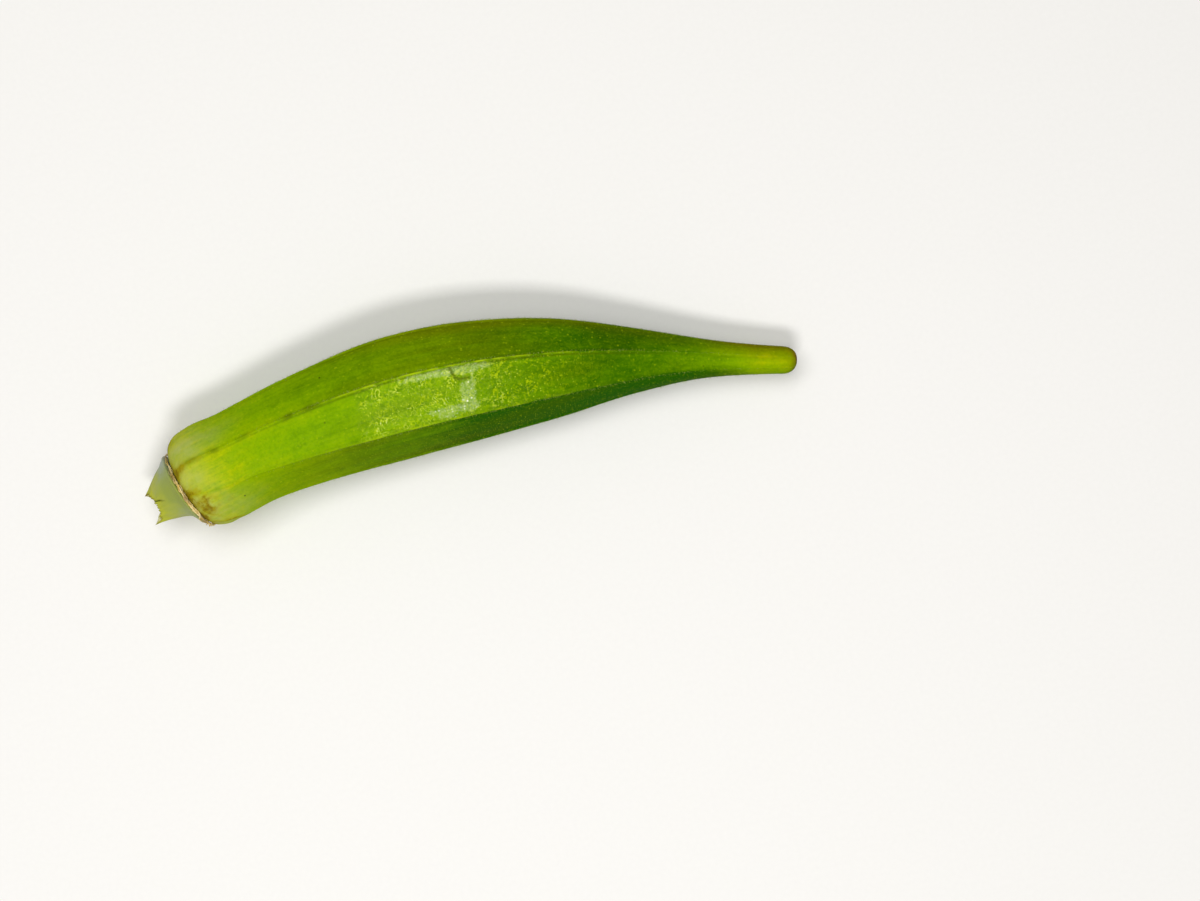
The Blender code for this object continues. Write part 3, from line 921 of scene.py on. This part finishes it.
def cap_point(behind, facet, inward):
    """Sections set back along the stalk, from the pod's chords by the ring to two lobes at the cut. On the
    cut, inward runs from 0 at its rim to 1 at its middle. Its rim is slanted, with two standing corners, a
    squarish notch between them, fraying and spurs, and further in it is dished and pitted."""
    middle, forward, side, up = axis_frame(-behind)
    middle = middle + side * smooth(CAP_SHIFT, behind)[..., None]
    angle, half, across = round_section(-behind, facet)
    along = (behind - CAP_FRONT) / (CAP_BACK - CAP_FRONT)
    corner = -np.cos(2 * angle)
    lobes = 1 + CAP_LOBES * corner * rise(along, 0.3, 0.8)
    radius = smooth(CAP_RADIUS, behind) * chord(half, across, FACETING[0][1] * (1 - along)) * lobes
    sideways, upwards = PATTERN_RADIUS * np.sin(angle), PATTERN_RADIUS * np.cos(angle)
    waves = sine_sum(sideways, upwards, behind * 0.6, (5, 3.5, 2.6, 1.9, 1.4), 51)
    radius = radius * (1 + CAP_UNEVENNESS * waves * rise(behind, 0.5, 1.5))
    radius = radius + CAP_SWELL * np.clip(np.sin(angle), 0, 1) * rise(behind, 1, 3.5)
    radius = radius * (1 - SPLIT_DEPTH * split_share(behind, angle)) * (1 - inward)
    waves = ((7, 1.0), (11, 4.0), (17, 2.0), (29, 5.0), (47, 3.0))
    fray = CUT_FRAY * sum(np.sin(angle * n + phase) for n, phase in waves) / len(waves)
    torn = CUT_RAGGED * corner / 2 + CUT_SLANT * np.sin(angle)
    torn += (fray - NOTCH_DEPTH) * np.abs(np.cos(angle - NOTCH_TURN)) ** NOTCH_SQUARENESS
    for at, spur, half_width in SPURS:
        torn += spur * bell(np.degrees(angle) - at, half_width)
    reach = (rise(behind, 3.6, CAP_BACK) * (1 - inward)) ** 1.5
    back = torn * reach - CUT_DISH * np.sqrt(np.clip(inward, 0, 1))
    sideways, upwards = radius * np.sin(angle), radius * np.cos(angle)
    pits = sine_sum(sideways, upwards, behind, (2.2, 1.6, 1.1, 0.8, 0.6, 0.5), 61)
    back += PIT_DEPTH * pits * rise(inward, 0, 0.2)
    return middle + radius[..., None] * outwards(angle, side, up) - forward * back[..., None] + shift


# The rows crowd together beside the ring, and past the rim they run in over the cut to its middle.
cap_rows = np.concatenate([[0.3, 0.38, 0.5, 0.62, 0.74, 0.88], np.linspace(1.05, CAP_BACK, 74)])
inward_rows = np.array([0.04, 0.09, 0.15, 0.22, 0.3, 0.38, 0.46, 0.54, 0.62, 0.7, 0.78, 0.86, 0.94])
behind = np.concatenate([cap_rows, np.full(len(inward_rows), cap_rows[-1])])
inward = np.concatenate([np.zeros(len(cap_rows)), inward_rows])
cap_columns = (np.arange(len(RIDGES))[:, None] + np.linspace(0, 1, 30, endpoint=False)).ravel()
behind, cap_facet = np.meshgrid(behind, cap_columns, indexing="ij")
inward = np.broadcast_to(inward[:, None], behind.shape)
cap_grid = cap_point(behind, cap_facet, inward)[::-1]
cap_mesh = capped_tube("stem_cap", cap_grid)
cap_angle = round_section(-behind, cap_facet)[0]
sideways, upwards = PATTERN_RADIUS * np.sin(cap_angle), PATTERN_RADIUS * np.cos(cap_angle)
cap_grown = np.stack([sideways, upwards, behind], axis=-1)
cap_marks = {
    "behind": behind / CAP_BACK,
    "cut": (inward > 0).astype(float),
    "crack": split_share(behind, cap_angle),
    # The flanks, most of all the +Y one: where the painted sheen goes and the rim browns more.
    "flank_and_sheen": np.abs(np.sin(cap_angle)) ** 3 * (0.65 + 0.35 * np.sin(cap_angle)),
}
paint(cap_mesh, "grown", (cap_grown * 0.001)[::-1].reshape(-1, 3))
for name, values in cap_marks.items():
    paint(cap_mesh, name, values[::-1].ravel())

# Fresh green stalk, streaked along its length and greyer with wax towards the ring. Its flanks, most of all
# the +Y one, carry a painted bluish sheen in patches over the wax. The rim of the cut has browned, and the
# cut is moist pith with paler bundles of fibres in it.
stalk = bpy.data.materials.new("Fresh stalk, waxy green")
stalk.use_nodes = True
place = add(stalk, "Attribute", output="Vector", attribute_name="grown")
mark = {name: add(stalk, "Attribute", output="Fac", attribute_name=name) for name in cap_marks}
streak = add(stalk, "Mapping", {"Vector": place}, Scale=(1, 1, 0.25))
streak = add(stalk, "TexNoise", {"Vector": streak}, Scale=every(1.1), Detail=4, Roughness=0.6)
haze = add(stalk, "TexNoise", {"Vector": place}, Scale=every(3.8), Detail=3)
haze = add(stalk, "Math", {0: haze, 1: 0.35}, operation="ADD")
haze = add(stalk, "Math", {0: haze, 1: mark["behind"]}, operation="SUBTRACT")
haze = add(stalk, "MapRange", {"Value": haze}, From_Min=0.0, From_Max=0.6, To_Max=0.8)
speckle = add(stalk, "TexNoise", {"Vector": place}, Scale=every(0.9), Detail=5, Roughness=0.75)
worn = add(stalk, "MapRange", {"Value": speckle}, From_Min=0.36, From_Max=0.56, To_Min=0.7, To_Max=1.55)
rim = add(stalk, "MapRange", {"Value": mark["behind"]}, From_Min=0.93, From_Max=1.0)
browner_flank = add(stalk, "Math", {0: mark["flank_and_sheen"], 1: 1.0}, operation="ADD")
spot = add(stalk, "TexCoord", output="Object")
bundles = add(stalk, "TexVoronoi", {"Vector": spot}, Scale=every(0.53), Randomness=0.9)
bundles = add(stalk, "MapRange", {"Value": bundles}, From_Min=0.15, From_Max=0.5)
moist = add(stalk, "TexNoise", {"Vector": spot}, Scale=every(1.4), Detail=4, Roughness=0.7)
pith = coated(stalk, "#8f9440", (("#b0b060", moist), ("#ccca92", bundles)))
colour = coated(
    stalk,
    "#97a32e",
    (
        ("#bcbb38", streak),
        ("#889646", haze),
        ("#a7b1a9", haze, worn, mark["flank_and_sheen"]),
        ("#6b5214", rim, streak, browner_flank),
        ("#4c5010", mark["crack"], 0.85),
        (pith, mark["cut"]),
    ),
)
ridged = add(stalk, "Bump", {"Height": streak}, Strength=0.5, Distance=0.00015)
grainy = add(stalk, "Bump", {"Height": speckle, "Normal": ridged}, Strength=0.4, Distance=0.0001)
links = {"Base Color": colour, "Normal": grainy}
cover(cap_mesh, stalk, links, Roughness=0.55, IOR=1.42, Specular_IOR_Level=0.2)

cap = object_of("cut_stalk", cap_mesh)
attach(cap, "root")
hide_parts("stem_cap")

# ======================================================================================================
# The studio: a plain pale floor under soft light, seen from straight above. The camera is rolled so that
# the pod's tip points a little up to the right.
# ======================================================================================================

ROLL = math.radians(11.99)
CAMERA_HEIGHT = 0.56
FRAME_WIDTH = 0.1951  # how much it takes in from side to side, at the pod's own level
POD_LEVEL = 0.01
SENSOR_WIDTH = 36
LOOKS_AT = (66.76, 6.37)  # from the ring's middle, in the camera's own directions, mm

right = Vector((math.cos(ROLL), -math.sin(ROLL), 0))
upward = Vector((math.sin(ROLL), math.cos(ROLL), 0))
ring_middle = Vector(shift) * 0.001
centre = ring_middle + right * (LOOKS_AT[0] * 0.001) + upward * (LOOKS_AT[1] * 0.001)
camera = object_of("camera", bpy.data.cameras.new("camera"))
camera.data.sensor_width = SENSOR_WIDTH
camera.data.lens = SENSOR_WIDTH * (CAMERA_HEIGHT - POD_LEVEL) / FRAME_WIDTH
camera.data.clip_start = 0.01
camera.matrix_world = Matrix.Translation((centre.x, centre.y, CAMERA_HEIGHT)) @ Matrix.Rotation(-ROLL, 4, "Z")
bpy.context.scene.camera = camera

# Matt white paper, barely mottled by its fibres.
floor_mesh = bpy.data.meshes.new("floor")
floor_mesh.from_pydata([(-3, -3, 0), (3, -3, 0), (3, 3, 0), (-3, 3, 0)], [], [(0, 1, 2, 3)])
paper = bpy.data.materials.new("Matt white paper")
paper.use_nodes = True
spot = add(paper, "TexCoord", output="Object")
fibre = add(paper, "TexNoise", {"Vector": spot}, Scale=every(0.8), Detail=3)
colour = coated(paper, "#eceae6", (("#f0eeea", fibre),))
cover(floor_mesh, paper, {"Base Color": colour}, Roughness=0.9, Specular_IOR_Level=0.1)
floor = object_of("floor", floor_mesh)


def softbox(name, across, up, height, size, power):
    """A soft area light: its place is given in the camera's directions from the pod, and it faces the pod."""
    lamp = bpy.data.lights.new(name, "AREA")
    lamp.shape = "RECTANGLE"
    lamp.size, lamp.size_y = size
    lamp.energy = power
    source = object_of(name, lamp)
    target = ring_middle + right * 0.05 + upward * 0.015
    source.location = target + right * across + upward * up + Vector((0, 0, height))
    source.rotation_mode = "QUATERNION"
    source.rotation_quaternion = (target - source.location).to_track_quat("-Z", "Y")


softbox("key_light", 0.01, -0.26, 0.6, (0.2, 0.11), 1.9)
softbox("overhead_light", -0.1, 0.12, 0.8, (0.5, 0.4), 3.6)
world = bpy.data.worlds.new("studio")
world.use_nodes = True
world.node_tree.nodes["Background"].inputs["Color"].default_value = (1, 1, 1, 1)
world.node_tree.nodes["Background"].inputs["Strength"].default_value = 0.25
bpy.context.scene.world = world
bpy.context.scene.view_settings.view_transform = "Standard"
